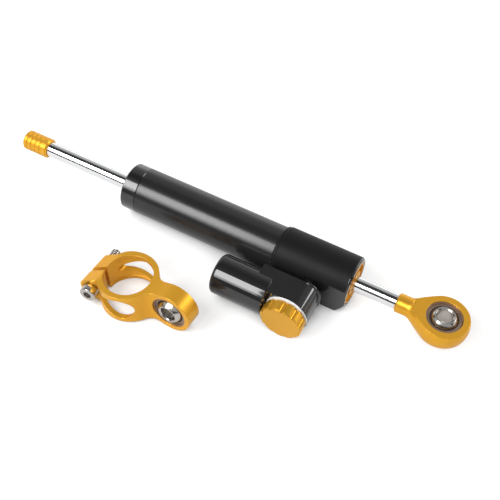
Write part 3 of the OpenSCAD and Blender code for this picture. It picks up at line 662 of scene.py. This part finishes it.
@dataclass
class Clamp(Assembly):
    """The clamp's ring and its cap screw, whose thread shows behind the far ear."""

    axis: Axis = field(default_factory=lambda: Axis(
        tuple(record_mount("clamp_bore")["pos_m"]), tuple(record_mount("clamp_bore")["axis"])))
    finishes: dict[str, Finish] = field(default_factory=lambda: {"clamp_ring": GOLD})
    ear_turn: float = math.radians(8.0)
    screw_reach: float = 17.05 * MM
    seat: float = 8.1 * MM
    tip: float = -17.7 * MM
    head_radius: float = 4.25 * MM
    head_height: float = 5.0 * MM
    head_round: float = 0.5 * MM
    head_round_steps: int = 4
    foot_round: float = 0.5 * MM / 3
    foot_round_steps: int = 2
    socket_across: float = 4.0 * MM
    socket_depth: float = 2.75 * MM
    crest_radius: float = 2.48 * MM
    core_radius: float = 2.02 * MM
    pitch: float = 0.8 * MM
    flat_share: float = 0.2
    flank_share: float = 0.3
    tip_chamfer: float = 0.6 * MM
    shaft_overlap: float = 1.0 * MM
    envelope_slack: float = 0.02 * MM
    pick_slack: float = 0.01 * MM
    facets: int = 72
    socket_sides: int = 6
    helix_steps: int = 36
    helix_lead_in: float = 1.5
    helix_spare_turns: int = 3

    def screw_place(self) -> Matrix:
        """Frame of the screw: its axis towards the head, its origin between the ears."""
        bore, eye = (Vector(record_mount(m)["pos_m"]) for m in ("clamp_bore", "clamp_eye"))
        up = Vector(record_mount("clamp_bore")["axis"]).normalized()
        up = up if up.z > 0 else -up
        ahead = eye - bore
        ahead = (ahead - up * ahead.dot(up)).normalized()
        turn = Matrix((ahead, up.cross(ahead), up)).transposed().to_4x4()
        return (Matrix.Translation(bore) @ turn @ Matrix.Rotation(self.ear_turn, 4, "Z")
                @ Matrix.Translation((-self.screw_reach, 0.0, 0.0))
                @ Matrix.Rotation(QUARTER_TURN, 4, "X"))

    def screw_head(self) -> Shaper:
        """Round head with softened rims and a six-sided socket."""
        top = self.seat + self.head_height
        Shaper.clear()
        bpy.ops.mesh.primitive_cylinder_add(
            vertices=self.facets, radius=self.head_radius, depth=self.head_height,
            location=(0.0, 0.0, self.seat + self.head_height / 2))
        bpy.ops.object.transform_apply(location=True)
        head = Shaper("screw_head")
        head.bevel(lambda v: v.z > top - self.pick_slack, self.head_round, self.head_round_steps)
        head.bevel(lambda v: v.z < self.seat + self.pick_slack, self.foot_round, self.foot_round_steps)
        Shaper.clear()
        bpy.ops.mesh.primitive_cylinder_add(
            vertices=self.socket_sides, radius=self.socket_across / math.sqrt(3.0),
            depth=2 * self.socket_depth, location=(0.0, 0.0, top))
        bpy.ops.object.transform_apply(location=True)
        head.combine(Shaper("screw_socket"), "DIFFERENCE")
        return head

    def screw_thread(self) -> Shaper:
        """Threaded shaft: one tooth swept up a helix, cut level at both ends, its tip chamfered."""
        run = self.seat + self.shaft_overlap - self.tip
        turns = math.ceil(run / self.pitch) + self.helix_spare_turns
        start = self.tip - self.helix_lead_in * self.pitch
        Shaper.clear()
        bpy.ops.mesh.primitive_plane_add(size=1.0 * MM)
        thread = Shaper("screw_thread")
        bpy.ops.object.mode_set(mode="EDIT")
        bpy.ops.mesh.select_mode(type="VERT")
        bpy.ops.mesh.select_all(action="SELECT")
        bpy.ops.mesh.merge(type="CENTER")
        bpy.ops.transform.translate(value=(self.core_radius, 0.0, start))
        tooth = self.crest_radius - self.core_radius
        rise = self.flank_share * self.pitch
        level = (0.0, 0.0, self.flat_share * self.pitch)
        for step in (level, (tooth, 0.0, rise), level, (-tooth, 0.0, rise)):
            bpy.ops.mesh.extrude_region_move(TRANSFORM_OT_translate={"value": step})
        bpy.ops.object.mode_set(mode="OBJECT")
        sweep = thread.made.modifiers.new("helix", "SCREW")
        sweep.axis, sweep.screw_offset, sweep.iterations = "Z", self.pitch, turns
        sweep.steps = sweep.render_steps = self.helix_steps
        sweep.use_merge_vertices = True
        bpy.ops.object.modifier_apply(modifier=sweep.name)
        thread.clean()
        thread.cut_at(self.tip, keep_above=True)
        thread.cut_at(self.seat + self.shaft_overlap, keep_above=False)
        thread.clean()
        Shaper.clear()
        length = run + self.shaft_overlap
        bpy.ops.mesh.primitive_cylinder_add(
            vertices=self.facets, radius=self.crest_radius + self.envelope_slack, depth=length,
            location=(0.0, 0.0, self.tip + length / 2))
        bpy.ops.object.transform_apply(location=True)
        envelope = Shaper("screw_envelope")
        envelope.bevel(lambda v: v.z < self.tip + self.pick_slack, self.tip_chamfer, segments=1)
        thread.combine(envelope, "INTERSECT")
        return thread

    def build(self) -> None:
        """Dress the ring and put in the threaded cap screw."""
        super().build()
        screw = self.screw_head()
        screw.combine(self.screw_thread(), "UNION")
        screw.clean()
        screw.made.name = "cap_screw"
        place = self.screw_place()
        screw.settle(place)
        dress(screw.made, STEEL, Axis(tuple(place.translation), tuple(place.col[2].xyz)))
        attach(screw.made, "clamp")
        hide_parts("clamp_screw")


@dataclass(frozen=True)
class Softbox:
    """A soft rectangular lamp that looks down at the part, its heading counted from straight in front."""

    name: str
    x: float
    heading: float
    elevation: float
    size: Span
    watts: float
    distance: float = 1.05

    def hang(self) -> None:
        """Hang the lamp."""
        tilt, turn = math.radians(self.elevation), math.radians(self.heading)
        reach = self.distance * math.cos(tilt)
        data = bpy.data.lights.new(self.name, "AREA")
        data.shape = "RECTANGLE"
        data.size, data.size_y = self.size
        data.energy = self.watts
        made = bpy.data.objects.new(self.name, data)
        made.location = (self.x + reach * math.sin(turn), -reach * math.cos(turn),
                         self.distance * math.sin(tilt))
        made.rotation_euler = (QUARTER_TURN - tilt, 0.0, turn)
        bpy.context.scene.collection.objects.link(made)


@dataclass
class Studio:
    """Floor, lights and the photograph's camera."""

    azimuth: float = 24.15
    elevation: float = 50.998
    roll: float = 4.82
    place: Triple = (0.14364, -0.258352, 0.339211)
    focal_pixels: float = 853.575
    frame_pixels: float = 500.0
    sensor: float = 36.0
    clip: Span = (0.01, 50.0)
    floor_side: float = 12.0
    floor_gap: float = 0.02 * MM
    floor_tone: Triple = (0.50, 0.50, 0.50)
    floor_lift: float = 0.66
    floor_mirrored: float = 0.6
    # Reach and span of the painted shade round the parts, where the floor's glow fades.
    floor_shade_reach: float = 25.0 * MM
    floor_shade_span: Span = (0.05, 0.6)
    lamps: tuple[Softbox, ...] = (
        Softbox("front_softbox", -0.44, 0.0, 51.0, (0.50, 0.563), 8.9),
        Softbox("front_softbox_skirt", -0.44, 0.0, 31.0, (0.50, 0.184), 1.3),
        Softbox("right_softbox", 0.02, 0.0, 51.0, (0.20, 0.40), 2.3),
        Softbox("rear_softbox", 0.05, 131.0, 27.0, (0.30, 0.45), 3.4))
    front_wall: Stops = (
        (0.0, 0.9), (0.02, 0.9), (0.05, 0.03), (0.40, 0.03), (0.45, 0.55), (0.88, 0.55), (0.94, 0.04))
    rear_wall: Stops = (
        (0.0, 1.5), (0.22, 1.3), (0.36, 0.80), (0.52, 0.58), (0.64, 0.50), (0.90, 0.42), (0.95, 0.04))
    wall_seam: Span = (-0.1, 0.1)

    def camera(self) -> None:
        """Put the camera where the photograph was taken."""
        a, e, r = (math.radians(x) for x in (self.azimuth, self.elevation, self.roll))
        back = Vector((math.sin(a) * math.cos(e), -math.cos(a) * math.cos(e), math.sin(e)))
        right = Vector((math.cos(a), math.sin(a), 0.0))
        up = back.cross(right)
        across = right * math.cos(r) + up * math.sin(r)
        upward = up * math.cos(r) - right * math.sin(r)
        data = bpy.data.cameras.new("photo_camera")
        data.sensor_width = self.sensor
        data.lens = self.focal_pixels / self.frame_pixels * self.sensor
        data.clip_start, data.clip_end = self.clip
        made = bpy.data.objects.new("photo_camera", data)
        turn = Matrix((across, upward, back)).transposed().to_4x4()
        made.matrix_world = Matrix.Translation(self.place) @ turn
        bpy.context.scene.collection.objects.link(made)
        bpy.context.scene.camera = made

    def floor(self) -> None:
        """Lay a pale floor that shows white and keeps the shadows, with painted shade round the parts where its
        glow fades.
        """
        Shaper.clear()
        bpy.ops.mesh.primitive_plane_add(
            size=self.floor_side, location=(0.0, 0.0, FLOOR_Z - self.floor_gap))
        made = bpy.context.object
        made.name = "floor"
        finish = bpy.data.materials.new("floor_paper")
        finish.use_nodes = True
        graph = Graph(finish.node_tree)
        paper = graph.node("ShaderNodeBsdfDiffuse", {}, {"Color": (*self.floor_tone, 1.0)})
        # Painted shade: the floor's glow fades where ambient occlusion finds parts close by.
        open_sky = graph.node("ShaderNodeAmbientOcclusion", {}, {"Distance": self.floor_shade_reach})["AO"]
        path = graph.node("ShaderNodeLightPath", {}, {})
        seen = path["Is Camera Ray"].larger(path["Is Transmission Ray"]).larger(
            path["Is Glossy Ray"] * self.floor_mirrored)
        glow = graph.node("ShaderNodeEmission", {}, {
            "Strength": seen * open_sky.between(*self.floor_shade_span) * self.floor_lift})
        both = graph.node("ShaderNodeAddShader", {}, {0: paper["BSDF"], 1: glow["Emission"]})
        graph.node("ShaderNodeOutputMaterial", {}, {"Surface": both["Shader"]})
        made.data.materials.append(finish)

    def room(self) -> None:
        """Light the room in long strips: pale walls, a dark ceiling and a dark strip low in front."""
        world = bpy.data.worlds.new("studio_room")
        bpy.context.scene.world = world
        world.use_nodes = True
        graph = Graph(world.node_tree)
        ray = graph.node("ShaderNodeTexCoord", {}, {})["Generated"]
        side_on = graph.vector("MULTIPLY", "Vector", ray, (0.0, 1.0, 1.0))
        side_on = graph.vector("NORMALIZE", "Vector", side_on)
        height = graph.node("ShaderNodeSeparateXYZ", {}, {"Vector": side_on})
        front, rear = (
            graph.node("ShaderNodeValToRGB", {"stops": stops}, {"Fac": height["Z"]})["Color"]
            for stops in (self.front_wall, self.rear_wall))
        tone = graph.mix(height["Y"].between(*self.wall_seam), front, rear)
        path = graph.node("ShaderNodeLightPath", {}, {})
        tone = graph.mix(path["Is Camera Ray"], tone, (1.0, 1.0, 1.0))
        sky = graph.node("ShaderNodeBackground", {}, {"Color": tone, "Strength": 1.0})
        graph.node("ShaderNodeOutputWorld", {}, {"Surface": sky["Background"]})

    def build(self) -> None:
        """Set up the whole studio."""
        self.camera()
        self.floor()
        self.room()
        for lamp in self.lamps:
            lamp.hang()
        bpy.context.scene.view_settings.view_transform = "Standard"


def main() -> None:
    """Dress every sub-assembly and build the studio."""
    logging.basicConfig(level=logging.INFO, format="%(name)s: %(message)s")
    for part in (TubeAndRod(), Reservoir(), Adjuster(), RodEye(), ClampEye(), Clamp(), Studio()):
        part.build()


if __name__ == "__main__":
    main()
